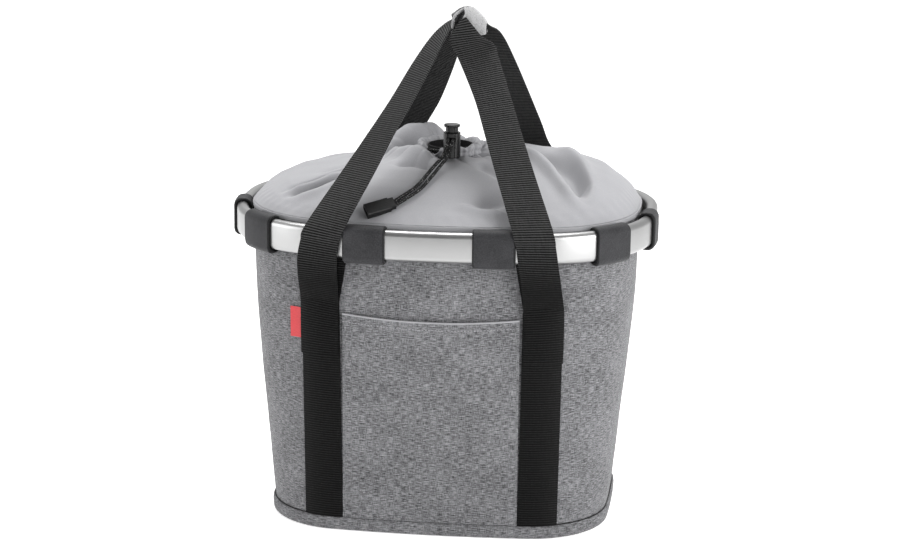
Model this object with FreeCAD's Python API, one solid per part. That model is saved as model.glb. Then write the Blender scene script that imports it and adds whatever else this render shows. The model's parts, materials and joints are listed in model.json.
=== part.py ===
"""Handlebar basket: a fabric bag hung in a closed aluminium rail, with two webbing handles and a drawstring cover.

Millimetres, +Z up, -Y is the front, +Y the side that faces the handlebar. The origin is the centre of the flat
underside of the base. Each physical piece is one solid (or one group of equal fasteners) in its own STEP file.
"""

import FreeCAD, Part
import math
import os

V = FreeCAD.Vector

# Outlines are ovals of eight tangent arcs: (half length, half width, front radius, corner radius, side radius).
RAIL_OUTLINE = (175.0, 122.5, 514.0, 102.0, 588.0)
WALL_FOOT_OUTLINE = (140.3, 103.5, 984.5, 64.5, 1072.5)
WALL_INSET = 14.0  # the bag's wall hangs this far inside the rail's outer face
MOUTH_OUTLINE = (24.5, 24.5, 31.0, 20.0, 31.0)
COVER_SHOULDER = (135.0, 62.0, 400.0, 45.0, 300.0)

# Rail
RAIL_LOW = 235.0
RAIL_HIGH = 260.0
RAIL_DEPTH = 10.0
RAIL_WALL = 1.2
RAIL_EDGE = 4.6
RAIL_GAP = 0.4  # butt joint at the back
JOINER_HALF = 30.0
RIVET_R = 2.0
RIVET_X = (-18.0, 18.0)
RIVET_HEAD = (1.6, 0.7)  # how far its top and underside stand off the rail's inner face

# Bag
WALL_TOP = 260.0
WALL_T = 2.4
FLOOR_T = 2.0
BOARD_T = 3.0
PANEL_SEAM_X = 90.0
WELT_HIGH = 11.0
WELT_T = 2.5
BINDING_HIGH = 262.4
SKIN_GAP = 0.05  # sewn layers lie this close
BOARD_GAP = 0.5
STIFFENER_T = 1.6
STIFFENER_X = 100.0
STIFFENER_Z = (10.0, 240.0)

# Loops that hold the bag in the rail: where the middle of each one crosses the rail's outer face
LOOP_W = 32.0
END_LOOP_W = 18.0
LOOP_T = 2.8
LOOP_EDGE = 6.0
LOOP_GAP = 0.25
LONG_FACE_Y = 110.0  # beyond this the rail follows its long arcs
END_FACE_X = 170.0  # and beyond this its end arcs
LOOP_PLACES = {
    "front_left": (-51.5, -120.0),
    "front_right": (51.5, -120.0),
    "left_front_corner": (-146.0, -85.0),
    "right_front_corner": (146.0, -85.0),
    "left_end": (-174.6, -23.0),
    "right_end": (174.6, -23.0),
    "left_back_corner": (-134.2, 95.5),
    "right_back_corner": (134.2, 95.5),
    "back_left": (-51.5, 120.0),
    "back_right": (51.5, 120.0),
}

# Webbing
WEB_W = 32.0
WEB_T = 1.6
STRAP_FOOT_X = 88.5
STRAP_TOP_X = 92.0
STRAP_LOW = 11.2
STRAP_TOP = 258.0
HANDLE_T = 2.2
HANDLE_X = 86.5  # middle of each leg where it bends below the rail
HINGE_Z = 236.0
HINGE_Y = 121.0
HANDLE_Y = 119.4  # middle of the webbing where it passes outside the rail
APEX_X = 16.0
APEX_Y = 7.0
APEX_Z = 419.0
HANDLE_BEND_Z = 268.0  # the webbing leans inwards above this
HANDLE_TOP_Z = 401.0  # and stands upright again above this
HANDLE_LEFT_EDGE = [(-70.5, HINGE_Z), (-102.5, HINGE_Z), (-102.0, 266.0), (-9.0, 392.0), (-3.0, 400.0)]
HANDLE_RIGHT_EDGE = [(35.0, 400.0), (41.0, 389.0), (102.0, 266.0), (102.5, HINGE_Z), (70.5, HINGE_Z)]
HANDLE_INNER_EDGE = [(70.0, 266.0), (21.0, 386.0), (15.5, 399.0), (8.0, 386.0), (-70.0, 266.0), (-70.5, HINGE_Z)]
ANCHOR_LOW = 150.0
ANCHOR_BEND = 195.0
ANCHOR_FOOT_X = 91.0
ANCHOR_BEND_X = 91.5
ANCHOR_Y = 103.7

# Grip cuff, a hook-and-loop wrap round both handles
CUFF_R = 15.6
CUFF_T = 1.5
CUFF_Z = 408.0
CUFF_HALF = 14.0

# Front pocket and label
POCKET_HALF = 72.2
POCKET_HIGH = 179.0
POCKET_HEM_HIGH = 186.0
LABEL_X = (-116.5, -107.6)
LABEL_Z = (162.0, 187.5)

# Drawstring cover
COVER_LOW = 262.4
COVER_SHOULDER_Z = 285.0
COVER_TOP = 299.7
COVER_T = 1.2
HEM_R = (20.5, 24.5)
HEM_Z = (300.0, 311.0)
MOUTH_X = 2.0
CORD_R = 1.5
CORD_RING_R = 22.4
CORD_RING_Z = 306.0
CORD_EXIT_Y = -21.0  # where both ends of the cord rise out of the hem

# Cord lock
LOCK_X = 7.3
LOCK_Y = -34.5
LOCK_LOW = 304.0
LOCK_HIGH = 325.0
LOCK_R = 7.0
BORE_R = 5.3
PLUNGER_R = 5.2
CORD_Z = 319.6
CORD_SPREAD = 1.8
CORD_GAP = 1.7  # the tails start this far in front of the cord's led-out ends
BUTTON_TRAVEL = 4.0
BUTTON_T = 2.0
LOCK_FLOOR_T = 2.0
LOCK_EDGE = 0.8
PLUNGER_FOOT = 7.5  # above the barrel's underside
SPRING_R = 3.6
SPRING_WIRE_R = 0.4
SPRING_TURNS = 3
HOLE_GAP = (0.6, 0.3)  # round the two cords, sideways and up

# Free cord tails, from the lock's front to the end cap
TAIL_LEFT = [
    (5.5, -43.5, 319.6),
    (5.4, -47.6, 318.6),
    (4.6, -49.4, 314.2),
    (2.3, -50.2, 307.5),
    (-3.0, -57.0, 302.2),
    (-9.6, -68.0, 294.4),
    (-15.4, -77.0, 287.6),
    (-23.0, -84.5, 282.8),
    (-32.0, -90.6, 277.6),
]
TAIL_RIGHT = [
    (9.1, -43.5, 319.6),
    (9.0, -47.6, 318.6),
    (8.2, -49.4, 314.2),
    (5.8, -51.2, 307.0),
    (0.6, -59.0, 301.0),
    (-5.8, -70.0, 292.9),
    (-11.8, -79.0, 286.1),
    (-20.2, -86.6, 281.0),
    (-30.4, -93.2, 275.2),
]
END_CAP_TIP = (-55.6, -103.5, 270.4)
END_COLLAR = (5.0, 9.0, 5.6)  # length, width, thickness
END_BODY = (20.0, 12.0, 7.0)
END_EDGE = 1.8
END_RECESS = (4.0, 3.6, 1.6)  # depth, half width, half thickness

# Plate that takes the handlebar adapter
PLATE_HALF = 48.0
PLATE_Y = (126.0, 131.0)
PLATE_Z = (150.0, 262.0)
SKIRT_T = 3.0
SKIRT_TOP = 231.0
SLOT_HALF = 28.0
PLATE_CORNER = 8.0
SKIRT_Y = 100.0
GUIDE_W = 7.0
LIP_W = 6.0
SLOT_DEEP = 5.0
GUIDE_Y_END = 139.0
GUIDE_Z = (158.0, 252.0)
STOP_H = 7.0
SCREW_X = 41.0
SCREW_Z = (166.0, 222.0)
SCREW_R = 2.0
SCREW_HOLE_R = 2.1
BOSS_R = 6.5
BACKING_Y = (97.0, 100.0)
BACKING_Z = (154.0, 236.0)
BACKING_CORNER = 6.0
SOCKET_R = 1.6
HEAD_R = 3.8
HEAD_T = 2.4
NUT_R = 4.0
NUT_T = 3.2

FAR = 400.0  # longer than anything here


# ---------------------------------------------------------------- helpers

def grown(outline, offset):
    """The parallel outline, offset outwards."""
    return tuple(size + offset for size in outline)


def arc_centres(outline):
    """Centres of the back, corner and side arcs in the quarter with positive x and y."""
    a, b, front_r, corner_r, side_r = outline
    front_c = V(0, b - front_r, 0)
    side_c = V(a - side_r, 0, 0)
    reach_front = front_r - corner_r
    reach_side = side_r - corner_r
    base = side_c - front_c
    along = (base.Length**2 + reach_front**2 - reach_side**2) / (2 * base.Length)
    across = math.sqrt(reach_front**2 - along**2)
    ahead = V(base).normalize()
    aside = V(ahead.y, -ahead.x, 0)
    if aside.x < 0:
        aside = -aside
    return front_c, front_c + ahead * along + aside * across, side_c


def oval(outline, z, centre_x=0.0):
    """Closed wire of eight tangent arcs at height z."""
    a, b, front_r, corner_r, side_r = outline
    front_c, corner_c, side_c = arc_centres(outline)
    to_front = (corner_c - front_c).normalize()
    to_side = (corner_c - side_c).normalize()
    middle = (to_front + to_side).normalize()
    marks = [
        V(0, b, 0),
        front_c + V((V(0, 1, 0) + to_front).normalize()) * front_r,
        corner_c + to_front * corner_r,
        corner_c + middle * corner_r,
        corner_c + to_side * corner_r,
        side_c + V((V(1, 0, 0) + to_side).normalize()) * side_r,
        V(a, 0, 0),
    ]
    down = [V(p.x, -p.y, 0) for p in reversed(marks)]
    right = marks + down[1:]
    left = [V(-p.x, p.y, 0) for p in reversed(right)]
    ring = right + left[1:]
    points = [p + V(centre_x, 0, z) for p in ring]
    # whole arcs over the front and back, so that no seam lies on the middle line
    points = points[2:-1] + points[:3]
    arcs = zip(points[::2], points[1::2], points[2::2])
    return Part.Wire([Part.Arc(*arc).toShape() for arc in arcs])


def slab(outline, low, high, centre_x=0.0):
    """Upright solid with that outline."""
    return Part.Face(oval(outline, low, centre_x)).extrude(V(0, 0, high - low))


def box(x, y, z):
    """Box between pairs of coordinates."""
    return Part.makeBox(x[1] - x[0], y[1] - y[0], z[1] - z[0], V(x[0], y[0], z[0]))


def cylinder(radius, start, end):
    span = V(*end) - V(*start)
    return Part.makeCylinder(radius, span.Length, V(*start), span)


def polygon(points):
    return Part.Face(Part.makePolygon(points + points[:1]))


WALL_HEAD_OUTLINE = grown(RAIL_OUTLINE, -WALL_INSET)
wall_bodies = {}


def wall_body(offset):
    """Solid inside the bag's outer surface moved by offset."""
    if offset not in wall_bodies:
        foot = oval(grown(WALL_FOOT_OUTLINE, offset), 0)
        head = oval(grown(WALL_HEAD_OUTLINE, offset), WALL_TOP)
        wall_bodies[offset] = Part.makeLoft([foot, head], True, True)
    return wall_bodies[offset]


def wall_skin(inner, outer, x, low, high, y=(-FAR, FAR)):
    """Layer of the wall between two offsets, cut to a box."""
    layer = wall_body(outer).cut(wall_body(inner))
    return layer.common(box(x, y, (low, high)))


def upright(points):
    """Prism through the whole object from an elevation outline of (x, z) points."""
    return polygon([V(x, -FAR, z) for x, z in points]).extrude(V(0, 2 * FAR, 0))


def bent_sheet(path, thickness, side):
    """Sheet as wide as the object along a path of (distance from the middle plane, height)."""
    half = thickness / 2
    pieces = []
    for (y0, z0), (y1, z1) in zip(path, path[1:]):
        start = V(-FAR, side * y0, z0)
        run = V(0, side * (y1 - y0), z1 - z0)
        normal = V(0, -run.z, run.y).normalize() * half
        pieces.append(polygon([start - normal, start + normal, start + run + normal, start + run - normal]))
    solids = [piece.extrude(V(2 * FAR, 0, 0)) for piece in pieces]
    bends = [cylinder(half, (-FAR, side * y, z), (FAR, side * y, z)) for y, z in path[1:-1]]
    return solids[0].multiFuse(solids[1:] + bends).removeSplitter()


def one_solid(shape):
    """The solid itself when a boolean leaves it in a compound."""
    return shape.Solids[0] if len(shape.Solids) == 1 else shape


def save(name, shape):
    shape = one_solid(shape)
    assert shape.isValid(), name
    shape.exportStep(f"parts/{name}.step")
    box_size = shape.BoundBox
    print(f"{name:28s} solids {len(shape.Solids)}  volume {shape.Volume:10.1f}  "
          f"x {box_size.XMin:7.1f} {box_size.XMax:7.1f}  y {box_size.YMin:7.1f} {box_size.YMax:7.1f}  "
          f"z {box_size.ZMin:7.1f} {box_size.ZMax:7.1f}")


# ---------------------------------------------------------------- rail

def rounded_ring(outer, inner, low, high, radius):
    """Ring between two parallel outlines with its long edges rounded."""
    ring = slab(grown(RAIL_OUTLINE, outer), low, high).cut(slab(grown(RAIL_OUTLINE, inner), low, high))
    flat = [e for e in ring.Edges if abs(e.BoundBox.ZLength) < 1e-6]
    return ring.makeFillet(radius, flat)


def rivet_cores(radius, y0, y1):
    z = (RAIL_LOW + RAIL_HIGH) / 2
    return [cylinder(radius, (x, y0, z), (x, y1, z)) for x in RIVET_X]


def make_rail():
    ring = rounded_ring(0, -RAIL_DEPTH, RAIL_LOW, RAIL_HIGH, RAIL_EDGE)
    hollow = rounded_ring(-RAIL_WALL, RAIL_WALL - RAIL_DEPTH, RAIL_LOW + RAIL_WALL, RAIL_HIGH - RAIL_WALL,
                          RAIL_EDGE - RAIL_WALL)
    joint = box((-RAIL_GAP / 2, RAIL_GAP / 2), (0, FAR), (0, FAR))
    rail = ring.cut(hollow).cut(joint)
    inner_face = RAIL_OUTLINE[1] - RAIL_DEPTH
    for core in rivet_cores(RIVET_R, inner_face - 2, inner_face + RAIL_DEPTH / 2):
        rail = rail.cut(core)
    save("frame_rail", rail)

    slack = RAIL_WALL + SKIN_GAP
    plug = rounded_ring(-slack, slack - RAIL_DEPTH, RAIL_LOW + slack, RAIL_HIGH - slack, RAIL_EDGE - slack)
    plug = plug.common(box((-JOINER_HALF, JOINER_HALF), (0, FAR), (0, FAR)))
    for core in rivet_cores(RIVET_R, inner_face - 2, inner_face + RAIL_DEPTH / 2):
        plug = plug.cut(core)
    save("rail_joiner", plug)

    shanks = rivet_cores(RIVET_R, inner_face - RIVET_HEAD[1] - 0.3, inner_face + RAIL_DEPTH / 2)
    heads = rivet_cores(RIVET_R * 1.8, inner_face - RIVET_HEAD[0], inner_face - RIVET_HEAD[1])
    save("rail_joiner_rivets", Part.makeCompound([s.fuse(h) for s, h in zip(shanks, heads)]))


# ---------------------------------------------------------------- bag

def screw_places():
    return [(x, z) for x in (-SCREW_X, SCREW_X) for z in SCREW_Z]


def without_screw_holes(shape):
    for x, z in screw_places():
        shape = shape.cut(cylinder(SCREW_HOLE_R, (x, 80, z), (x, 160, z)))
    return shape


def make_bag():
    seam = PANEL_SEAM_X
    save("front_panel", wall_skin(-WALL_T, 0, (-seam, seam), FLOOR_T, WALL_TOP, (-FAR, 0)))
    back = wall_skin(-WALL_T, 0, (-seam, seam), FLOOR_T, WALL_TOP, (0, FAR))
    save("back_panel", without_screw_holes(back))
    save("left_panel", wall_skin(-WALL_T, 0, (-FAR, -seam), FLOOR_T, WALL_TOP))
    save("right_panel", wall_skin(-WALL_T, 0, (seam, FAR), FLOOR_T, WALL_TOP))

    save("base_panel", slab(WALL_FOOT_OUTLINE, 0, FLOOR_T))
    board_outline = grown(WALL_FOOT_OUTLINE, -WALL_T - BOARD_GAP)
    save("base_board", slab(board_outline, FLOOR_T, FLOOR_T + BOARD_T))
    save("base_welt", wall_skin(SKIN_GAP, WELT_T, (-FAR, FAR), 0, WELT_HIGH))
    stiffener = wall_skin(-WALL_T - STIFFENER_T, -WALL_T - SKIN_GAP, (-STIFFENER_X, STIFFENER_X), *STIFFENER_Z,
                          (0, FAR))
    save("back_stiffener", without_screw_holes(stiffener))

    binding = slab(WALL_HEAD_OUTLINE, WALL_TOP, BINDING_HIGH)
    binding = binding.cut(slab(grown(WALL_HEAD_OUTLINE, -WALL_T - 1.0), WALL_TOP, BINDING_HIGH))
    save("top_binding", binding)

    half = POCKET_HALF
    save("front_pocket", wall_skin(SKIN_GAP, 1.45, (-half, half), WELT_HIGH + 0.2, POCKET_HIGH, (-FAR, 0)))
    save("pocket_hem", wall_skin(SKIN_GAP, 2.2, (-half, half), POCKET_HIGH, POCKET_HEM_HIGH, (-FAR, 0)))
    save("side_label", wall_skin(SKIN_GAP, 0.9, LABEL_X, LABEL_Z[0], LABEL_Z[1], (-FAR, 0)))


def rail_heading(x, y):
    """Direction, in degrees, that the rail's outer face looks in at that point."""
    front_c, centre, side_c = arc_centres(RAIL_OUTLINE)
    if abs(y) > LONG_FACE_Y:
        centre = front_c
    if abs(x) > END_FACE_X:
        centre = side_c
    return math.degrees(math.atan2(math.copysign(abs(y) - centre.y, y), math.copysign(abs(x) - centre.x, x)))


def make_rail_loops():
    """Bands that wrap the rail and are sewn to the top of the wall."""
    around = rounded_ring(LOOP_T, 0.1 - WALL_INSET, RAIL_LOW - LOOP_T, RAIL_HIGH + LOOP_T, LOOP_EDGE)
    passage = rounded_ring(LOOP_GAP, -RAIL_DEPTH - LOOP_GAP, RAIL_LOW - LOOP_GAP, RAIL_HIGH + LOOP_GAP, RAIL_EDGE)
    sleeve = around.cut(passage)
    for name, (x, y) in LOOP_PLACES.items():
        half = (END_LOOP_W if name.endswith("_end") else LOOP_W) / 2
        window = box((-30, 20), (-half, half), (RAIL_LOW - 10, RAIL_HIGH + 10))
        window.rotate(V(0, 0, 0), V(0, 0, 1), rail_heading(x, y))
        window.translate(V(x, y, 0))
        save(f"rail_loop_{name}", sleeve.common(window))


def make_straps():
    """Webbing sewn flat to the wall, one on each side of each long face."""
    half = WEB_W / 2
    for face, y in (("front", (-FAR, 0)), ("back", (0, FAR))):
        for hand, sign in (("left", -1), ("right", 1)):
            outline = [
                (sign * (STRAP_FOOT_X - half), STRAP_LOW),
                (sign * (STRAP_FOOT_X + half), STRAP_LOW),
                (sign * (STRAP_TOP_X + half), STRAP_TOP),
                (sign * (STRAP_TOP_X - half), STRAP_TOP),
            ]
            layer = wall_skin(SKIN_GAP, SKIN_GAP + WEB_T, (-FAR, FAR), STRAP_LOW, STRAP_TOP, y)
            save(f"wall_strap_{face}_{hand}", layer.common(upright(outline)))


def make_handle_anchors():
    """The sewn ends of the handles, up to where the webbing starts to bend."""
    path = [(ANCHOR_Y, ANCHOR_LOW), (ANCHOR_Y, ANCHOR_BEND), (HANDLE_Y, HINGE_Z - 0.4)]
    half = WEB_W / 2
    for face, side in (("front", -1), ("back", 1)):
        sheet = bent_sheet(path, WEB_T + 0.2, side).cut(wall_body(2 * SKIN_GAP + WEB_T))
        for hand, sign in (("left", -1), ("right", 1)):
            outline = [
                (sign * (ANCHOR_FOOT_X - half), ANCHOR_LOW - 1),
                (sign * (ANCHOR_FOOT_X + half), ANCHOR_LOW - 1),
                (sign * (ANCHOR_BEND_X + half), ANCHOR_BEND),
                (sign * (HANDLE_X + half), HINGE_Z + 2),
                (sign * (HANDLE_X - half), HINGE_Z + 2),
                (sign * (ANCHOR_BEND_X - half), ANCHOR_BEND),
            ]
            save(f"handle_anchor_{face}_{hand}", sheet.common(upright(outline)))


# ---------------------------------------------------------------- handles

def handle_outline():
    """Front view of a webbing loop: two legs that meet at the apex."""
    (x0, z0), (x1, z1) = HANDLE_LEFT_EDGE[-1], HANDLE_RIGHT_EDGE[0]
    crown = Part.Arc(V(x0, 0, z0), V(APEX_X, 0, APEX_Z), V(x1, 0, z1)).toShape()
    rising = Part.makePolygon([V(x, 0, z) for x, z in HANDLE_LEFT_EDGE])
    falling = Part.makePolygon([V(x, 0, z) for x, z in HANDLE_RIGHT_EDGE + HANDLE_INNER_EDGE])
    face = Part.Face(Part.Wire(rising.Edges + [crown] + falling.Edges))
    return face.extrude(V(0, 2 * FAR, 0)).translated(V(0, -FAR, 0))


def make_handles():
    path = [(HANDLE_Y, HINGE_Z), (HANDLE_Y, HANDLE_BEND_Z), (APEX_Y, HANDLE_TOP_Z), (APEX_Y, APEX_Z + 2)]
    outline = handle_outline()
    for name, side in (("front_handle", -1), ("back_handle", 1)):
        save(name, bent_sheet(path, HANDLE_T, side).common(outline))


def make_cuff():
    """The wrap round both handles: a half sewn to the back handle and a flap that closes over the front one."""
    outer = cylinder(CUFF_R, (APEX_X - CUFF_HALF, 0, CUFF_Z), (APEX_X + CUFF_HALF, 0, CUFF_Z))
    inner = cylinder(CUFF_R - CUFF_T, (APEX_X - CUFF_HALF, 0, CUFF_Z), (APEX_X + CUFF_HALF, 0, CUFF_Z))
    hoop = outer.cut(inner)
    low = CUFF_Z - CUFF_R / 2
    split = 0.25
    high = CUFF_Z + CUFF_R + 1
    back = hoop.common(box((-FAR, FAR), (split, FAR), (low, high)))
    front = hoop.common(box((-FAR, FAR), (-FAR, -split), (low, high)))
    save("grip_cuff", back)
    save("grip_flap", front)


# ---------------------------------------------------------------- cover and cord

def make_cover():
    rings = [
        oval(grown(WALL_HEAD_OUTLINE, -0.2), COVER_LOW),
        oval(COVER_SHOULDER, COVER_SHOULDER_Z),
        oval(MOUTH_OUTLINE, COVER_TOP, MOUTH_X),
    ]
    skirt = Part.makeLoft(rings[:2], True, True)
    top = Part.makeLoft(rings[1:], True, True)
    dome = skirt.fuse(top)
    hollow = dome.translated(V(0, 0, -COVER_T))
    mouth = slab(grown(MOUTH_OUTLINE, -COVER_T), COVER_TOP - 5, COVER_TOP + 5, MOUTH_X)
    save("cover", dome.cut(hollow).cut(mouth))

    axis_foot = V(MOUTH_X, 0, 0)
    ring = Part.makeCylinder(HEM_R[1], HEM_Z[1] - HEM_Z[0], axis_foot + V(0, 0, HEM_Z[0]))
    ring = ring.cut(Part.makeCylinder(HEM_R[0], HEM_Z[1] - HEM_Z[0], axis_foot + V(0, 0, HEM_Z[0])))
    channel = Part.makeTorus(CORD_RING_R, CORD_R + 0.3, axis_foot + V(0, 0, CORD_RING_Z))
    ring = ring.cut(channel)
    exit_half = CORD_SPREAD + CORD_R + 0.3
    slot = box((LOCK_X - exit_half, LOCK_X + exit_half), (CORD_EXIT_Y - 1.8, CORD_EXIT_Y + 1.8),
               (CORD_RING_Z, HEM_Z[1] + 1))
    save("mouth_hem", ring.cut(slot))


def flat_edges(shape):
    return [e for e in shape.Edges if e.BoundBox.ZLength < 1e-6]


def make_lock():
    axis = V(LOCK_X, LOCK_Y, 0)
    high = LOCK_HIGH - LOCK_LOW
    barrel = Part.makeCylinder(LOCK_R, high, axis + V(0, 0, LOCK_LOW))
    barrel = barrel.makeFillet(LOCK_EDGE, flat_edges(barrel))
    barrel = barrel.cut(Part.makeCylinder(BORE_R, high, axis + V(0, 0, LOCK_LOW + LOCK_FLOOR_T)))
    hole_x = CORD_SPREAD + CORD_R + HOLE_GAP[0]
    hole_z = CORD_R + HOLE_GAP[1]
    sides = (LOCK_X - hole_x, LOCK_X + hole_x)
    through = (LOCK_Y - 10, LOCK_Y + 10)
    barrel = barrel.cut(box(sides, through, (CORD_Z - hole_z, CORD_Z + hole_z)))
    save("lock_barrel", barrel)

    plunger_low = LOCK_LOW + PLUNGER_FOOT
    stem_high = LOCK_HIGH + BUTTON_TRAVEL + 0.6
    plunger = Part.makeCylinder(PLUNGER_R, stem_high - plunger_low, axis + V(0, 0, plunger_low))
    button = Part.makeCylinder(LOCK_R - 0.4, BUTTON_T, axis + V(0, 0, stem_high - 0.2))
    button = button.makeFillet(0.6, flat_edges(button))
    plunger = plunger.fuse(button)
    plunger = plunger.cut(box(sides, through, (CORD_Z - hole_z, CORD_Z + hole_z + BUTTON_TRAVEL)))
    save("lock_plunger", plunger)

    spring_low = LOCK_LOW + LOCK_FLOOR_T + 0.6
    length = plunger_low - 0.6 - spring_low
    helix = Part.makeHelix(length / SPRING_TURNS, length, SPRING_R)
    section = Part.Wire(Part.makeCircle(SPRING_WIRE_R, V(SPRING_R, 0, 0), V(0, 1, 0)))
    spring = Part.Wire(helix.Edges).makePipeShell([section], True, True)
    save("lock_spring", spring.translated(axis + V(0, 0, spring_low)))


def cord_tube(points, radius, label):
    """Round tube along straight runs joined by tangent arcs, each as large as its two runs allow."""
    route = [V(*p) for p in points]
    edges = []
    start = route[0]
    radii = []
    for before, corner, after in zip(route, route[1:], route[2:]):
        to_before = (before - corner).normalize()
        to_after = (after - corner).normalize()
        shorter = min((before - corner).Length, (after - corner).Length)
        reach = 0.45 * shorter
        turn = math.pi - to_before.getAngle(to_after)
        radii.append(reach / math.tan(turn / 2))
        entry = corner + to_before * reach
        leave = corner + to_after * reach
        inwards = (to_before + to_after).normalize()
        centre_distance = radii[-1] / math.cos(turn / 2)
        crest = corner + inwards * (centre_distance - radii[-1])
        edges.append(Part.LineSegment(start, entry).toShape())
        edges.append(Part.Arc(entry, crest, leave).toShape())
        start = leave
    edges.append(Part.LineSegment(start, route[-1]).toShape())
    path = Part.Wire(edges)
    first = (route[1] - route[0]).normalize()
    section = Part.Wire(Part.makeCircle(radius, route[0], first))
    tube = path.makePipeShell([section], True, False)
    expected = math.pi * radius**2 * path.Length
    print(f"{label}: length {path.Length:.1f}, radii {', '.join(f'{r:.1f}' for r in radii)}, "
          f"volume {tube.Volume:.1f} of {expected:.1f}")
    return tube


def make_drawcord():
    """The cord in the hem, with both ends led up and forwards through the lock."""
    cord = Part.makeTorus(CORD_RING_R, CORD_R, V(MOUTH_X, 0, CORD_RING_Z))
    ends = []
    for spread in (-CORD_SPREAD, CORD_SPREAD):
        x = LOCK_X + spread
        route = [(x, CORD_EXIT_Y, CORD_RING_Z), (x, CORD_EXIT_Y, CORD_Z), (x, TAIL_LEFT[0][1] + CORD_GAP, CORD_Z)]
        ends.append(cord_tube(route, CORD_R, "drawcord end"))
    save("drawcord", cord.multiFuse(ends))


def make_tails():
    left = cord_tube(TAIL_LEFT, CORD_R, "left tail")
    right = cord_tube(TAIL_RIGHT, CORD_R, "right tail")
    save("cord_tail_left", left)
    save("cord_tail_right", right)

    # the flat end cap that joins both tails, narrower at the collar where the cords go in
    start = (V(*TAIL_LEFT[-1]) + V(*TAIL_RIGHT[-1])) * 0.5
    ahead = (V(*END_CAP_TIP) - start).normalize()
    across = (V(*TAIL_RIGHT[-1]) - V(*TAIL_LEFT[-1])).normalize()
    up = ahead.cross(across).normalize()
    across = up.cross(ahead)
    collar_l, collar_w, collar_t = END_COLLAR
    body_l, body_w, body_t = END_BODY
    gap = 0.4
    collar = box((gap, collar_l + 1), (-collar_w / 2, collar_w / 2), (-collar_t / 2, collar_t / 2))
    body = box((collar_l, collar_l + body_l), (-body_w / 2, body_w / 2), (-body_t / 2, body_t / 2))
    body = body.makeFillet(END_EDGE, [e for e in body.Edges if e.BoundBox.XLength > body_l - 1])
    depth, half_w, half_t = END_RECESS
    recess = box((collar_l + body_l - depth, collar_l + body_l + 1), (-half_w, half_w), (-half_t, half_t))
    cap = collar.fuse(body).cut(recess)
    turn = FreeCAD.Rotation(ahead, across, up, "XYZ")
    cap.Placement = FreeCAD.Placement(start, turn)
    save("cord_end", cap)


# ---------------------------------------------------------------- adapter plate

def make_plate():
    plate = box((-PLATE_HALF, PLATE_HALF), PLATE_Y, PLATE_Z)
    upright_edges = [e for e in plate.Edges if e.BoundBox.YLength > 1]
    plate = plate.makeFillet(PLATE_CORNER, upright_edges)
    half = PLATE_HALF
    rim = SKIRT_T
    skirt = box((-half, half), (SKIRT_Y, PLATE_Y[0] + 1), (PLATE_Z[0], SKIRT_TOP))
    skirt = skirt.makeFillet(PLATE_CORNER, [e for e in skirt.Edges if e.BoundBox.YLength > 1])
    room = box((rim - half, half - rim), (SKIRT_Y - 1, PLATE_Y[0] + 2), (PLATE_Z[0] + rim, SKIRT_TOP - rim))
    parts = [skirt.cut(room).cut(wall_body(SKIN_GAP))]
    for x, z in screw_places():
        parts.append(cylinder(BOSS_R, (x, SKIRT_Y, z), (x, PLATE_Y[0] + 1, z)).cut(wall_body(0.0)))
    for sign in (-1, 1):
        near, far = sorted((sign * SLOT_HALF, sign * (SLOT_HALF + GUIDE_W)))
        parts.append(box((near, far), (PLATE_Y[1] - 1, GUIDE_Y_END), GUIDE_Z))
        lip = sorted((sign * (SLOT_HALF - LIP_W), sign * (SLOT_HALF + 1)))
        parts.append(box(lip, (PLATE_Y[1] + SLOT_DEEP, GUIDE_Y_END), GUIDE_Z))
    parts.append(box((-SLOT_HALF - 1, SLOT_HALF + 1), (PLATE_Y[1] - 1, GUIDE_Y_END), (GUIDE_Z[1] - STOP_H, GUIDE_Z[1])))
    plate = plate.multiFuse(parts).removeSplitter()
    save("adapter_plate", without_screw_holes(plate))

    backing = box((-PLATE_HALF, PLATE_HALF), BACKING_Y, BACKING_Z)
    backing = backing.makeFillet(BACKING_CORNER, [e for e in backing.Edges if e.BoundBox.YLength > 1])
    save("backing_plate", without_screw_holes(backing))

    screws = []
    nuts = []
    for x, z in screw_places():
        shank = cylinder(SCREW_R, (x, BACKING_Y[0] - NUT_T - 1, z), (x, PLATE_Y[1] + 1, z))
        head = cylinder(HEAD_R, (x, PLATE_Y[1], z), (x, PLATE_Y[1] + HEAD_T, z))
        socket = cylinder(SOCKET_R, (x, PLATE_Y[1] + 1.2, z), (x, PLATE_Y[1] + HEAD_T + 1, z))
        screws.append(shank.fuse(head).cut(socket))
        corners = [V(x + NUT_R * math.cos(k * math.pi / 3), BACKING_Y[0] - NUT_T, z + NUT_R * math.sin(k * math.pi / 3))
                   for k in range(6)]
        nut = polygon(corners).extrude(V(0, NUT_T, 0))
        bore = cylinder(SCREW_HOLE_R, (x, 80, z), (x, 110, z))
        nuts.append(nut.cut(bore))
    save("plate_screws", Part.makeCompound(screws))
    save("plate_nuts", Part.makeCompound(nuts))


os.makedirs("parts", exist_ok=True)
make_rail()
make_bag()
make_rail_loops()
make_straps()
make_handle_anchors()
make_handles()
make_cuff()
make_cover()
make_drawcord()
make_lock()
make_tails()
make_plate()
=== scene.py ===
"""Handlebar basket: fabric, webbing, rail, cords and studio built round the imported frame.

Metres, +Z up, -Y is the front with the pocket, as in the CAD. Sizes repeat the CAD's driving dimensions.
"""

import json
import math

import bmesh
import bpy
import numpy as np
from mathutils import Matrix, Vector, noise


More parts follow.
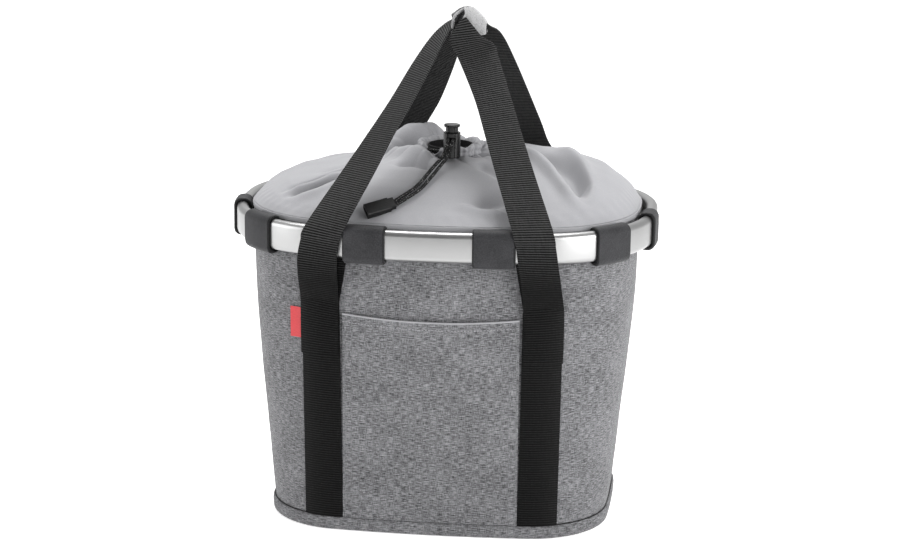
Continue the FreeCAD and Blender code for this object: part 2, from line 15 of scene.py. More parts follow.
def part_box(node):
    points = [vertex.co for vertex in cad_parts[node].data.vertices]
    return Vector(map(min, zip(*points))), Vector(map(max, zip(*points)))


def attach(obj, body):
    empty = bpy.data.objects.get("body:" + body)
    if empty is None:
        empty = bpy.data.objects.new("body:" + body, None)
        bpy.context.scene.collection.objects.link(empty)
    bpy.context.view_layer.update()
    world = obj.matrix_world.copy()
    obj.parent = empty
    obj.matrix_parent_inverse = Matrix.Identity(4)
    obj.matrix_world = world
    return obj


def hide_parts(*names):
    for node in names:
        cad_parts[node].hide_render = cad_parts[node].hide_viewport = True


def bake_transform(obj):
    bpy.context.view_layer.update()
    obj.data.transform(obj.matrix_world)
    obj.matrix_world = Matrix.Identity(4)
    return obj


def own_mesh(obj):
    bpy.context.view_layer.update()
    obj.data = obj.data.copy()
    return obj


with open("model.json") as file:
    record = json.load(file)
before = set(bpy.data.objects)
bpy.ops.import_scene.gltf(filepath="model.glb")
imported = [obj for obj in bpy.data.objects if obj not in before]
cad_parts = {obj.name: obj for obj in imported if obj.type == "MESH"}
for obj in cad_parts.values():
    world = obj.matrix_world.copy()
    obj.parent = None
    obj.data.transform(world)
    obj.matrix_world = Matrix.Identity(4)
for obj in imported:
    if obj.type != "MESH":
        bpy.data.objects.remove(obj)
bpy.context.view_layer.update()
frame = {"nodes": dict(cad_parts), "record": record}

MM = 0.001
RAIL_OUTLINE = (175.0, 122.5, 514.0, 102.0, 588.0)
FOOT_OUTLINE = (140.3, 103.5, 984.5, 64.5, 1072.5)
WALL_INSET = 14.0
WALL_HEIGHT = 260.0
WALL_T = 2.4
SEAM_X = 90.0
RIB_PITCH = 2.0
CUFF_CENTRE = (16.0, 0.0)
RAIL_LOW = 235.0
RAIL_HIGH = 260.0
WELT_HIGH = 11.2
WEBBING_W = 32.0
WEBBING_OUT = 2.75
POCKET_HALF_W = 72.2
POCKET_LOW = 11.3
POCKET_HIGH = 182.4
POCKET_HEM = 8.0
POCKET_SEAM_Z = 176.5
CORD_R = 1.5
CORD_RING_R = 22.4
CORD_RING_Z = 306.0
SPRING_TURNS = 3
SPRING_WIRE_R = 0.4
# Sections round the rail: lowest and highest point, depth, distance out from the rail's face, corner radius
RAIL_SECTION = (RAIL_LOW, RAIL_HIGH, 10.0, 0.0, 4.6)
LOOP_SECTIONS = ((231.2, 262.7, 14.6, 2.6, 6.2), (234.7, 260.3, 10.6, 0.3, 4.8), (233.0, 261.4, 12.4, 1.3, 5.4))
CAMERA_TURN = (7.31, 15.21, 0.5)
CAMERA_TARGET = (0, 0, 0.150)
CAMERA_DISTANCE = 2.233
LENS = 105.28
LENS_SHIFT = (0.0035, 0.0594)


# ---- geometry helpers

def quarter_oval(outline, per_arc=40):
    """Points of an oval of tangent arcs from the middle of its back to the middle of its right side."""
    a, b, front_r, corner_r, side_r = outline
    front_c = np.array([0.0, b - front_r])
    side_c = np.array([a - side_r, 0.0])
    base = side_c - front_c
    length = np.hypot(*base)
    near, far = front_r - corner_r, side_r - corner_r
    along = (length**2 + near**2 - far**2) / (2 * length)
    across = math.sqrt(near**2 - along**2)
    ahead = base / length
    aside = np.array([ahead[1], -ahead[0]])
    aside = aside if aside[0] > 0 else -aside
    corner_c = front_c + ahead * along + aside * across
    first = math.atan2(*(corner_c - front_c)[::-1])
    second = math.atan2(*(corner_c - side_c)[::-1])
    spans = [(front_c, front_r, math.pi / 2, first), (corner_c, corner_r, first, second),
             (side_c, side_r, second, 0)]
    points = []
    for centre, radius, start, end in spans:
        angles = np.linspace(start, end, per_arc, endpoint=False)
        points.append(centre + radius * np.stack([np.cos(angles), np.sin(angles)], -1))
    points.append(np.array([[a, 0.0]]))
    return np.concatenate(points)


def oval(outline, grow=0.0):
    """Closed oval, anticlockwise from the middle of the front, in millimetres."""
    back = quarter_oval(tuple(size + grow for size in outline))
    front = back * [1, -1]
    right = np.concatenate([front, back[::-1][1:]])
    left = right[::-1][1:-1] * [-1, 1]
    return np.concatenate([right, left])


def unit(vectors):
    """The same directions at length one."""
    return vectors / np.linalg.norm(vectors, axis=-1, keepdims=True)


def outward(ring):
    """Unit normals of a closed anticlockwise ring."""
    along = np.roll(ring, -1, 0) - np.roll(ring, 1, 0)
    return unit(np.stack([along[:, 1], -along[:, 0]], -1))


def closed_line(points):
    """The points with the first one again at the end."""
    return np.concatenate([points, points[:1]])


def surface_normals(grid):
    """Unit normals of a grid of points."""
    return unit(np.cross(np.gradient(grid, axis=1), np.gradient(grid, axis=0)))


FOOT = oval(FOOT_OUTLINE)
HEAD = oval(RAIL_OUTLINE, -WALL_INSET)
RAIL = oval(RAIL_OUTLINE)


def wall_ring(z, out=0.0):
    """The bag's outline at height z, moved outwards."""
    ring = FOOT + (HEAD - FOOT) * z / WALL_HEIGHT
    return ring + outward(ring) * out


def with_height(points, z):
    """Points in plan, lifted to one height."""
    points = np.asarray(points, float)
    return np.concatenate([points, np.full((len(points), 1), float(z))], 1)


def face_row(z, xs, out=0.0, side=-1):
    """Points of the front (side -1) or back wall at the given x."""
    ring = wall_ring(z, out)
    half = ring[ring[:, 1] * side > 0]
    half = half[np.argsort(half[:, 0])]
    return np.stack([xs, np.interp(xs, half[:, 0], half[:, 1]), np.full(len(xs), float(z))], -1)


def end_row(z, hand, count, out=0.0):
    """Points round one end of the bag from panel seam to panel seam, front to back."""
    ring = wall_ring(z, out)
    kept = ring[ring[:, 0] * hand > SEAM_X]
    if hand < 0:
        kept = kept[::-1]
    ends = [face_row(z, np.array([hand * SEAM_X]), out, side)[0, :2] for side in (-1, 1)]
    line = np.concatenate([[ends[0]], kept, [ends[1]]])
    return with_height(spread(line, count), z)


def distance_along(line):
    """Distance of each point of a polyline from its start."""
    return np.concatenate([[0], np.cumsum(np.linalg.norm(np.diff(line, axis=0), axis=1))])


def spread(line, count):
    """The same polyline with evenly spaced points."""
    travel = distance_along(line)
    wanted = np.linspace(0, travel[-1], count)
    return np.stack([np.interp(wanted, travel, line[:, k]) for k in range(line.shape[1])], -1)


def smooth(points, count):
    """Points evenly along a Catmull-Rom curve through the given points."""
    p = np.asarray(points, float)
    p = np.concatenate([[2 * p[0] - p[1]], p, [2 * p[-1] - p[-2]]])
    t = np.linspace(0, 1, 16, endpoint=False)[:, None]
    spans = []
    for a, b, c, d in zip(p, p[1:], p[2:], p[3:]):
        bend, twist = 2 * a - 5 * b + 4 * c - d, 3 * b - a - 3 * c + d
        spans.append(0.5 * (2 * b + (c - a) * t + bend * t**2 + twist * t**3))
    spans.append(p[-2][None])
    return spread(np.concatenate(spans), count)


def grain(points, size, seed=0):
    """Smooth noise between about -1 and 1 at each point, with features of the given size in millimetres."""
    shift = Vector((seed * 17.3, seed * 9.1, seed * 5.7))
    heights = [noise.noise(Vector(p) / size + shift) for p in points.reshape(-1, 3)]
    return np.array(heights).reshape(points.shape[:-1])


def add_object(name, data):
    """A new object in the scene."""
    made = bpy.data.objects.new(name, data)
    bpy.context.scene.collection.objects.link(made)
    return made


def mesh_piece(name, points, faces, slot, weave=None, sharp=40):
    """A mesh object from millimetre points. weave holds the cloth's own coordinates, for its material."""
    mesh = bpy.data.meshes.new(name)
    mesh.from_pydata((np.asarray(points) * MM).tolist(), [], faces)
    if weave is not None:
        attribute = mesh.attributes.new("weave", "FLOAT_VECTOR", "POINT")
        attribute.data.foreach_set("vector", np.asarray(weave, np.float32).ravel())
    tidy = bmesh.new()
    tidy.from_mesh(mesh)
    bmesh.ops.recalc_face_normals(tidy, faces=tidy.faces)
    tidy.to_mesh(mesh)
    tidy.free()
    mesh.shade_smooth()
    mesh.set_sharp_from_angle(angle=math.radians(sharp))
    piece = add_object(name, mesh)
    set_material(piece, slot)
    return piece


def loft(name, sections, slot, weave=None, closed=False, sharp=40):
    """Skin over closed sections of equal point count, shape (sections, points, 3), with capped ends."""
    sections = np.asarray(sections, float)
    count, size = sections.shape[:2]
    index = np.arange(count * size).reshape(count, size)
    start, end = (index, np.roll(index, -1, 0)) if closed else (index[:-1], index[1:])
    quads = np.stack([start, np.roll(start, -1, 1), np.roll(end, -1, 1), end], -1).reshape(-1, 4).tolist()
    if not closed:
        for row in (index[0], index[-1]):
            row = row.tolist()
            quads += [[row[k], row[k + 1], row[size - 2 - k], row[size - 1 - k]] for k in range(size // 2 - 1)]
    return mesh_piece(name, sections.reshape(-1, 3), quads, slot, weave, sharp)


def cloth_between(name, outer, inner, slot, closed=False, sharp=40):
    """Closed cloth between two grids of points, shape (rows, columns, 3), with the cloth's own coordinates."""
    sections = np.concatenate([outer, inner[:, ::-1]], 1)
    across = np.linalg.norm(np.diff(outer, axis=1, prepend=outer[:, :1]), axis=-1).cumsum(1)
    across = across - across[:, across.shape[1] // 2][:, None]
    up = np.linalg.norm(np.diff(outer, axis=0, prepend=outer[:1]), axis=-1).mean(1).cumsum()
    grid = np.stack([across, np.broadcast_to(up[:, None], across.shape), np.zeros_like(across)], -1)
    weave = np.concatenate([grid, grid[:, ::-1]], 1) * MM
    return loft(name, sections, slot, weave.reshape(-1, 3), closed, sharp)


def two_skins(outer, inner, edges):
    """Points and faces of closed rows and their inner twins, joined along the rows whose numbers are given."""
    rows, size = outer.shape[:2]
    count = rows * size
    index = np.arange(count).reshape(rows, size)
    after = np.roll(index, -1, 1)
    quads = [np.stack([index[:-1], after[:-1], after[1:], index[1:]], -1).reshape(-1, 4)]
    quads.append(quads[0] + count)
    for row in edges:
        quads.append(np.stack([index[row], after[row], after[row] + count, index[row] + count], -1))
    return np.concatenate([outer.reshape(-1, 3), inner.reshape(-1, 3)]), np.concatenate(quads).tolist()


def cloth_places(across, along):
    """The cloth's own coordinates in metres, one row for each point."""
    return np.stack(np.broadcast_arrays(across, along, 0.0), -1).reshape(-1, 3)


def frames(line):
    """Unit tangents and two steady normals along a polyline."""
    tangents = unit(np.gradient(line, axis=0))
    side = np.cross(tangents[0], [0.0, 0.0, 1.0])
    side = side if np.linalg.norm(side) > 0.1 else np.array([1.0, 0.0, 0.0])
    sides = []
    for tangent in tangents:
        side = unit(side - tangent * (side @ tangent))
        sides.append(side)
    sides = np.array(sides)
    return tangents, sides, np.cross(tangents, sides)


def tube(name, line, radius, slot, around=16, braid=0.0, lay=9.0, closed=False):
    """Round tube along a line in millimetres, with a braided surface if asked for."""
    line = np.asarray(line, float)
    _, side, up = frames(line)
    travel = distance_along(line)
    angle = np.linspace(0, 2 * math.pi, around, endpoint=False)
    turns = 2 * math.pi * travel[:, None] / lay
    strands = np.cos(4 * (angle + turns)) * np.cos(4 * (angle - turns))
    size = np.broadcast_to(radius, travel.shape)[:, None] * (1 + braid * strands)
    sections = line[:, None] + size[..., None] * (
        np.cos(angle)[None, :, None] * side[:, None] + np.sin(angle)[None, :, None] * up[:, None])
    weave = cloth_places(angle / (2 * math.pi), travel[:, None] * MM)
    return loft(name, sections, slot, weave, closed, 60)


def stitches(name, line, normals, slot, step=2.6, length=1.8, radius=0.24):
    """A row of thread stitches lying along a line on cloth."""
    line = np.asarray(line, float)
    count = max(int(distance_along(line)[-1] / step), 2)
    even = spread(line, count * 4 + 1)
    normal = spread(np.asarray(normals, float), count * 4 + 1)
    points, faces = [], []
    for k in range(count):
        a, b = even[4 * k], even[4 * k + 3]
        ahead, up = unit(b - a), unit(normal[4 * k + 1])
        middle = (a + b) / 2
        side = np.cross(ahead, up)
        base = len(points)
        half = length / 2
        for along, girth in ((-half, 0.4), (-half * 0.5, 1.0), (half * 0.5, 1.0), (half, 0.4)):
            for turn in range(6):
                angle = turn * math.pi / 3
                offset = (side * math.cos(angle) + up * (0.6 + math.sin(angle))) * radius * girth
                points.append(middle + ahead * along + offset)
        for ring in range(3):
            for turn in range(6):
                a0 = base + ring * 6 + turn
                a1 = base + ring * 6 + (turn + 1) % 6
                faces.append([a0, a1, a1 + 6, a0 + 6])
        faces.append([base + turn for turn in range(6)])
        faces.append([base + 18 + turn for turn in reversed(range(6))])
    return mesh_piece(name, np.array(points), faces, slot)


# ---- materials

def set_inputs(node, values):
    """Values of a node's unlinked inputs, by name."""
    for name, value in values.items():
        node.inputs[name].default_value = value


class Graph:
    """Small helper that builds one material's nodes."""

    def __init__(self, name, roughness=0.6, sheen=0.0, metallic=0.0, specular=0.5):
        self.material = bpy.data.materials.new(name)
        self.material.use_nodes = True
        self.nodes = self.material.node_tree.nodes
        self.links = self.material.node_tree.links
        self.shader = self.nodes["Principled BSDF"]
        set_inputs(self.shader, {"Roughness": roughness, "Sheen Weight": sheen, "Sheen Roughness": 0.5,
                                 "Metallic": metallic, "Specular IOR Level": specular})

    def node(self, kind, **settings):
        made = self.nodes.new(kind)
        for key, value in settings.items():
            setattr(made, key, value)
        return made

    def link(self, output, socket):
        self.links.new(output, socket)

    def weave(self):
        return self.node("ShaderNodeAttribute", attribute_name="weave").outputs["Vector"]

    def place(self):
        return self.node("ShaderNodeTexCoord").outputs["Object"]

    def scaled(self, vector, x, y=None, z=1.0):
        """The vector times a scale for each axis; one number alone is for all three."""
        x, y, z = (x, x, x) if y is None else (x, y, z)
        mapping = self.node("ShaderNodeMapping")
        mapping.inputs["Scale"].default_value = (x, y, z)
        self.link(vector, mapping.inputs["Vector"])
        return mapping.outputs["Vector"]

    def noise(self, vector, scale=1.0, detail=2.0, roughness=0.5):
        made = self.node("ShaderNodeTexNoise")
        set_inputs(made, {"Scale": scale, "Detail": detail, "Roughness": roughness})
        self.link(vector, made.inputs["Vector"])
        return made.outputs["Fac"]

    def wave(self, vector, scale, direction):
        made = self.node("ShaderNodeTexWave", bands_direction=direction)
        made.inputs["Scale"].default_value = scale
        self.link(vector, made.inputs["Vector"])
        return made.outputs["Fac"]

    def math(self, operation, a, b):
        made = self.node("ShaderNodeMath", operation=operation)
        for socket, value in zip(made.inputs, (a, b)):
            if isinstance(value, (int, float)):
                socket.default_value = value
            else:
                self.link(value, socket)
        return made.outputs["Value"]

    def weighted(self, *parts):
        """Sum of (value, weight) pairs."""
        total, *others = [self.math("MULTIPLY", value, weight) for value, weight in parts]
        for term in others:
            total = self.math("ADD", total, term)
        return total

    def ramp(self, value, stops):
        made = self.node("ShaderNodeValToRGB")
        ramp = made.color_ramp
        while len(ramp.elements) < len(stops):
            ramp.elements.new(0.5)
        for element, (position, shade) in zip(ramp.elements, stops):
            element.position = position
            element.color = (*((shade,) * 3 if isinstance(shade, (int, float)) else shade), 1.0)
        self.link(value, made.inputs["Fac"])
        return made.outputs["Color"]

    def along(self, axis, low, high, below, above):
        """A value that runs from one level to another along an axis of the object."""
        parts = self.node("ShaderNodeSeparateXYZ")
        self.link(self.place(), parts.inputs["Vector"])
        made = self.node("ShaderNodeMapRange")
        set_inputs(made, {"From Min": low, "From Max": high, "To Min": below, "To Max": above})
        self.link(parts.outputs[axis], made.inputs["Value"])
        return made.outputs["Result"]

    def colour(self, output):
        self.link(output, self.shader.inputs["Base Color"])

    def rough(self, value, low, high):
        made = self.node("ShaderNodeMapRange")
        set_inputs(made, {"To Min": low, "To Max": high})
        self.link(value, made.inputs["Value"])
        self.link(made.outputs["Result"], self.shader.inputs["Roughness"])

    def bump(self, height, distance, strength=1.0):
        made = self.node("ShaderNodeBump")
        set_inputs(made, {"Strength": strength, "Distance": distance})
        self.link(height, made.inputs["Height"])
        self.link(made.outputs["Normal"], self.shader.inputs["Normal"])


def melange(name, dark, light, thread=1100.0):
    """Plain weave of mottled yarn, with long slubs both ways."""
    g = Graph(name, roughness=0.85, sheen=0.15, specular=0.25)
    cloth = g.weave()
    weft = g.noise(g.scaled(cloth, 170, 2100), detail=3.0, roughness=0.7)
    warp = g.noise(g.scaled(cloth, 2100, 190), detail=3.0, roughness=0.7)
    patch = g.noise(g.scaled(cloth, 22, 40))
    mixed = g.weighted((weft, 0.68), (warp, 0.32), (g.math("SUBTRACT", patch, 0.5), 0.08))
    low, high = 0.42, 0.59
    tint = (0.985, 0.985, 1.03)
    middle = (dark * 0.4 + light * 0.6) * 0.72
    stops = [(place, [shade * k for k in tint]) for place, shade in ((low, dark), (0.5, middle), (high, light))]
    g.colour(g.ramp(mixed, stops))
    threads = g.math("MULTIPLY", g.wave(g.scaled(cloth, thread, thread), 0.31, "X"),
                     g.wave(g.scaled(cloth, thread, thread), 0.31, "Y"))
    g.bump(g.math("ADD", threads, mixed), 0.00018, 0.7)
    return g.material


def nylon(name, shade):
    """Thin plain nylon of the cover."""
    g = Graph(name, roughness=0.62, sheen=0.1, specular=0.3)
    place = g.place()
    cloud = g.noise(g.scaled(place, 28), detail=3.0)
    fine = g.noise(g.scaled(place, 1500))
    mixed = g.weighted((cloud, 0.35), (fine, 0.65))
    dark = [shade * 0.86, shade * 0.86, shade * 0.90]
    g.colour(g.ramp(mixed, [(0.3, dark), (0.7, [shade, shade, shade * 1.045])]))
    g.bump(fine, 0.00012, 0.5)
    return g.material


def webbing(name, dark, light):
    """Ribbed webbing with warp lines along it: painted highlight on its crests, painted shade in its gaps, and
    painted shade that darkens its sewn lower part.
    """
    g = Graph(name, roughness=0.5, specular=0.08)
    cloth = g.weave()
    # Painted light: the rib crests are coloured lighter as highlight and the gaps darker as shade, in step with the
    # ribs' shape.
    rib_highlight_and_shade = g.math("SUBTRACT", 1.0, g.wave(g.scaled(cloth, 1, 1000 / RIB_PITCH), 0.3142, "Y"))
    lines = g.noise(g.scaled(cloth, 900, 90))
    flecks = g.noise(g.scaled(cloth, 500, 1000), roughness=0.7)
    mixed = g.weighted((rib_highlight_and_shade, 0.5), (lines, 0.3), (flecks, 0.35))
    # Painted shade: the colour darkens with height below the rail, where the sewn lower part gets less light.
    mixed = g.math("MULTIPLY", mixed, g.along("Z", 0.215, 0.262, 0.55, 1.0))
    g.colour(g.ramp(mixed, [(0.35, dark), (0.85, light)]))
    g.bump(mixed, 0.00025, 0.6)
    return g.material


def band_webbing(name, shade):
    """Dense fine-woven band."""
    g = Graph(name, roughness=0.6, sheen=0.05, specular=0.2)
    place = g.place()
    fine = g.noise(g.scaled(place, 1000), detail=3.0, roughness=0.75)
    broad = g.noise(g.scaled(place, 60))
    mixed = g.weighted((fine, 0.7), (broad, 0.3))
    g.colour(g.ramp(mixed, [(0.3, [shade * 0.35] * 2 + [shade * 0.4]), (0.7, [shade * 1.7] * 2 + [shade * 1.85])]))
    g.bump(fine, 0.0003, 0.9)
    return g.material


def plastic(name, shade, roughness=0.4, scale=2500.0, depth=0.00004):
    """Moulded plastic with a fine grain."""
    g = Graph(name, roughness=roughness, specular=0.3)
    place = g.place()
    fine = g.noise(place, scale, 2.0)
    broad = g.noise(place, 35.0, 3.0)
    g.colour(g.ramp(broad, [(0.3, shade * 0.8), (0.7, shade * 1.2)]))
    g.rough(fine, roughness * 0.8, roughness * 1.25)
    g.bump(fine, depth, 0.6)
    return g.material


def metal(name, shade, roughness=0.3, stretch=(30, 30, 1500)):
    """Aluminium or steel with a fine drawn grain."""
    g = Graph(name, roughness=roughness, metallic=1.0)
    place = g.place()
    drawn = g.noise(g.scaled(place, *stretch))
    broad = g.noise(place, 25.0, 2.0)
    g.colour(g.ramp(broad, [(0.3, shade * 0.96), (0.7, shade)]))
    g.rough(drawn, roughness * 0.85, roughness * 1.2)
    g.bump(drawn, 0.00002, 0.3)
    return g.material


def fleece(name, shade):
    """Brushed cuff fabric with dark and light fibres."""
    g = Graph(name, roughness=0.95, sheen=0.5, specular=0.1)
    fibres = g.noise(g.scaled(g.place(), 1100), detail=4.0, roughness=0.75)
    pale = [shade * 1.1, shade * 1.1, shade * 1.15]
    g.colour(g.ramp(fibres, [(0.3, shade * 0.45), (0.48, shade * 0.9), (0.7, pale)]))
    g.bump(fibres, 0.0005, 0.8)
    return g.material


def ribbon(name, colour):
    """Satin label ribbon, plain."""
    g = Graph(name, roughness=0.45, sheen=0.2)
    fine = g.noise(g.scaled(g.place(), 400, 400, 2600))
    g.colour(g.ramp(fine, [(0.3, [c * 0.75 for c in colour]), (0.7, colour)]))
    g.bump(fine, 0.0001, 0.5)
    return g.material


def braided(name):
    """Black cord with pale flecks where the braid turns."""
    g = Graph(name, roughness=0.6, specular=0.15)
    flecks = g.noise(g.scaled(g.weave(), 7, 900), roughness=0.8)
    g.colour(g.ramp(flecks, [(0.5, 0.004), (0.6, 0.012), (0.7, 0.5)]))
    g.bump(flecks, 0.0002, 0.6)
    return g.material


# How each material is made: its maker, its name and the maker's numbers
RECIPES = [
    (melange, "melange_fabric", 0.022, 0.255),
    (band_webbing, "base_fabric", 0.006),
    (plastic, "stiffener_board", 0.1, 0.7, 900.0),
    (nylon, "binding_tape", 0.3),
    (nylon, "cover_fabric", 0.305),
    (ribbon, "label_ribbon", (0.52, 0.012, 0.02)),
    (band_webbing, "loop_webbing", 0.021),
    (webbing, "black_webbing", 0.001, 0.05),
    (fleece, "cuff_fleece", 0.32),
    (metal, "anodised_aluminium", 0.36, 0.34),
    (metal, "joiner_aluminium", 0.7, 0.4),
    (metal, "rivet_steel", 0.6, 0.35, (900, 900, 900)),
    (braided, "braided_cord"),
    (plastic, "lock_plastic", 0.006, 0.2, 2500.0, 0.00002),
    (plastic, "end_rubber", 0.006, 0.45, 700.0, 0.0003),
    (metal, "spring_steel", 0.6, 0.3, (900, 900, 900)),
    (plastic, "plate_plastic", 0.03, 0.5, 1800.0, 0.00008),
    (metal, "screw_steel", 0.6, 0.35, (900, 900, 900)),
]
MATERIALS = {name: make(name, *numbers) for make, name, *numbers in RECIPES}


# ---- camera and studio

def make_camera():
    """Camera a little to the right of the front and above it, with a long lens."""
    azimuth, elevation, roll = (math.radians(turn) for turn in CAMERA_TURN)
    back = Vector((math.sin(azimuth) * math.cos(elevation), -math.cos(azimuth) * math.cos(elevation),
                   math.sin(elevation)))
    right = Vector((math.cos(azimuth), math.sin(azimuth), 0))
    up = back.cross(right)
    camera_right = right * math.cos(roll) + up * math.sin(roll)
    camera_up = up * math.cos(roll) - right * math.sin(roll)
    data = bpy.data.cameras.new("camera")
    data.sensor_width = 36.0
    data.lens = LENS
    data.shift_x, data.shift_y = LENS_SHIFT
    camera = add_object("camera", data)
    camera.matrix_world = Matrix.Translation(Vector(CAMERA_TARGET) + back * CAMERA_DISTANCE) @ Matrix(
        (camera_right, camera_up, back)).transposed().to_4x4()
    bpy.context.scene.camera = camera


def softbox(name, place, aim, size, power):
    """A rectangular light aimed at a point."""
    data = bpy.data.lights.new(name, "AREA")
    data.shape = "RECTANGLE"
    data.size, data.size_y = size
    data.energy = power
    light = add_object(name, data)
    light.location = place
    light.rotation_euler = (Vector(aim) - Vector(place)).to_track_quat("-Z", "Y").to_euler()


def make_studio():
    """White room, dimmer on the camera's side, with soft boxes at both sides and above."""
    world = bpy.data.worlds.new("studio")
    bpy.context.scene.world = world
    world.use_nodes = True
    nodes, links = world.node_tree.nodes, world.node_tree.links
    direction = nodes.new("ShaderNodeTexCoord").outputs["Generated"]
    split = nodes.new("ShaderNodeSeparateXYZ")
    links.new(direction, split.inputs["Vector"])
    dim = nodes.new("ShaderNodeMapRange")
    set_inputs(dim, {"From Min": -0.8, "From Max": 0.2, "To Min": 0.2, "To Max": 0.75})
    links.new(split.outputs["Y"], dim.inputs["Value"])
    links.new(dim.outputs["Result"], nodes["Background"].inputs["Strength"])
    nodes["Background"].inputs["Color"].default_value = (1.0, 1.0, 1.0, 1.0)
    softbox("left_box", (-1.55, -0.7, 0.7), (0, 0, 0.2), (1.2, 1.2), 15)
    softbox("right_box", (1.4, -1.0, 0.7), (0, 0, 0.2), (1.2, 1.2), 31)
    softbox("top_box", (-0.15, 0.5, 1.6), (0, 0, 0.25), (0.9, 0.7), 23)
    make_floor()
    bpy.context.scene.view_settings.view_transform = "Standard"


def make_floor():
    """Plain pale floor with a little light of its own, so that it stays white to the horizon."""
    floor_material = Graph("floor", roughness=0.9)
    set_inputs(floor_material.shader, {"Base Color": (0.93, 0.93, 0.93, 1.0),
                                       "Emission Color": (1.0, 1.0, 1.0, 1.0), "Emission Strength": 0.55})
    mesh = bpy.data.meshes.new("floor")
    half, low = 20.0, -0.0005
    corners = [(-half, -half, low), (half, -half, low), (half, half, low), (-half, half, low)]
    mesh.from_pydata(corners, [], [(0, 1, 2, 3)])
    floor = add_object("floor", mesh)
    floor.data.materials.append(floor_material.material)


# ---- bag

def keep(piece, body, *nodes):
    """The piece rides on the body and stands for those CAD nodes."""
    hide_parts(*nodes)
    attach(piece, body)
    return piece


def rows_between(low, high, step=3.0):
    """Even heights, about a step apart."""
    return np.linspace(low, high, max(int((high - low) / step), 2) + 1)


def ripple(outer, inner, size, height, seed):
    """Moves both faces of a cloth together along their shared direction by soft noise."""
    move = unit(outer - inner) * (grain(outer, size, seed) * height)[..., None]
    return outer + move, inner + move


def make_bag():
    """The four walls; the end walls bulge a little."""
    heights = rows_between(2.0, WALL_HEIGHT)
    xs = np.linspace(-SEAM_X, SEAM_X, 61)
    for side, name in ((-1, "front_panel"), (1, "back_panel")):
        outer, inner = (np.array([face_row(z, xs, out, side) for z in heights]) for out in (0.0, -WALL_T))
        outer, inner = ripple(outer, inner, 45.0, 0.35, 1)
        keep(cloth_between(name + "_cloth", outer, inner, "melange_fabric"), "basket", name)
    for hand, name in ((-1, "left_panel"), (1, "right_panel")):
        outer, inner = (np.array([end_row(z, hand, 101, out) for z in heights]) for out in (0.0, -WALL_T))
        round_end = np.clip((np.abs(outer[..., 0]) - 116.0) / 24.0, 0, 1)
        bulge = (3.0 * np.sin(math.pi * np.clip(heights / 250.0, 0, 1) ** 1.6)[:, None] * round_end)[..., None]
        away = unit(outer - inner)
        outer, inner = outer + away * bulge, inner + away * bulge
        outer, inner = ripple(outer, inner, 40.0, 0.5, 2)
        keep(cloth_between(name + "_cloth", outer, inner, "melange_fabric"), "basket", name)
    make_floor_cloth()
    make_welt()
    make_binding()
    make_pocket()
    make_label()


def make_floor_cloth():
    """The underside: a flat coated cloth that ends at the welt, into which the real one's rim turns up."""
    rings = [FOOT * share for share in (1.0, 0.98, 0.8, 0.6, 0.4, 0.2, 0.03)]
    outer, inner = (np.array([with_height(ring, z) for ring in rings]) for z in (0.0, 2.0))
    points, faces = two_skins(outer, inner, [0])
    half = len(points) // 2
    middle = range(half - len(FOOT), half)
    faces += [list(middle), [k + half for k in middle]]
    piece = mesh_piece("base_cloth", points, faces, "base_fabric", points * MM)
    keep(piece, "basket", "base_panel")


def ring_band(name, profile, slot, ripple_height=0.0, seed=0):
    """Band round the bag. profile lists (height, distance out from the wall) round its closed section."""
    sections = np.array([with_height(wall_ring(z, out), z) for z, out in profile]).transpose(1, 0, 2)
    if ripple_height:
        sections = sections + (grain(sections, 14.0, seed) * ripple_height)[..., None] * [0, 0, 1]
    around = distance_along(sections[:, 0])
    along = distance_along(np.array(profile))
    weave = cloth_places(around[:, None] * MM, along[None] * MM)
    return loft(name, sections, slot, weave, closed=True)


def make_welt():
    """The rolled edge round the base, with its seam."""
    profile = [(0.1, 0.1), (0.3, 1.6), (1.2, 2.3), (3.5, 2.5), (7.0, 2.4), (9.6, 2.0), (10.7, 1.1), (10.9, 0.1)]
    keep(ring_band("base_welt_cloth", profile, "melange_fabric", 0.12, 3), "basket", "base_welt")
    seam = wall_ring(WELT_HIGH, 0.35)
    line = with_height(seam, WELT_HIGH)
    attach(tube("welt_seam_cord", line, 0.45, "base_fabric", around=8, closed=True), "basket")


def make_binding():
    """Tape folded over the top edge of the walls."""
    profile = [(258.6, 0.7), (260.5, 0.8), (261.9, 0.2), (262.3, -1.0), (261.9, -2.4), (260.2, -3.2), (258.6, -3.1),
               (258.6, -2.5), (259.9, -2.45), (259.9, 0.05), (258.6, 0.05)]
    ring = ring_band("binding_cloth", profile, "binding_tape", 0.1, 4)
    keep(ring, "basket", "top_binding")


def pocket_edge(xs):
    """Height of the pocket's top edge: a slight sag between the straps."""
    return POCKET_HIGH + 3.6 * np.clip(np.abs(xs) / 75.0, 0, 1) ** 2


def pocket_row(share, xs, edge):
    """Outer and inner points of the pocket at one share of its height, as (x, height, distance out)."""
    outer, inner = [], []
    for x, top in zip(xs, edge):
        z = POCKET_LOW + (top - POCKET_LOW) * share
        hem = top - POCKET_HEM
        out = 1.45 + 0.75 * min(max((z - hem) / 1.0, 0.0), 1.0)
        gape = 1.4 * max(0.0, 1 - (x / POCKET_HALF_W) ** 2) * max(0.0, (z - 120) / 65.0) ** 2
        groove = 0.5 * math.exp(-((z - hem) / 0.9) ** 2)
        outer.append((x, z, out + gape - groove))
        inner.append((x, z, 0.1 + gape))
    return outer, inner


def before_wall(rows):
    """Points in front of the wall, from rows of (x, height, distance out)."""
    return np.array([[face_row(z, np.array([x]))[0] - [0, out, 0] for x, z, out in row] for row in rows])


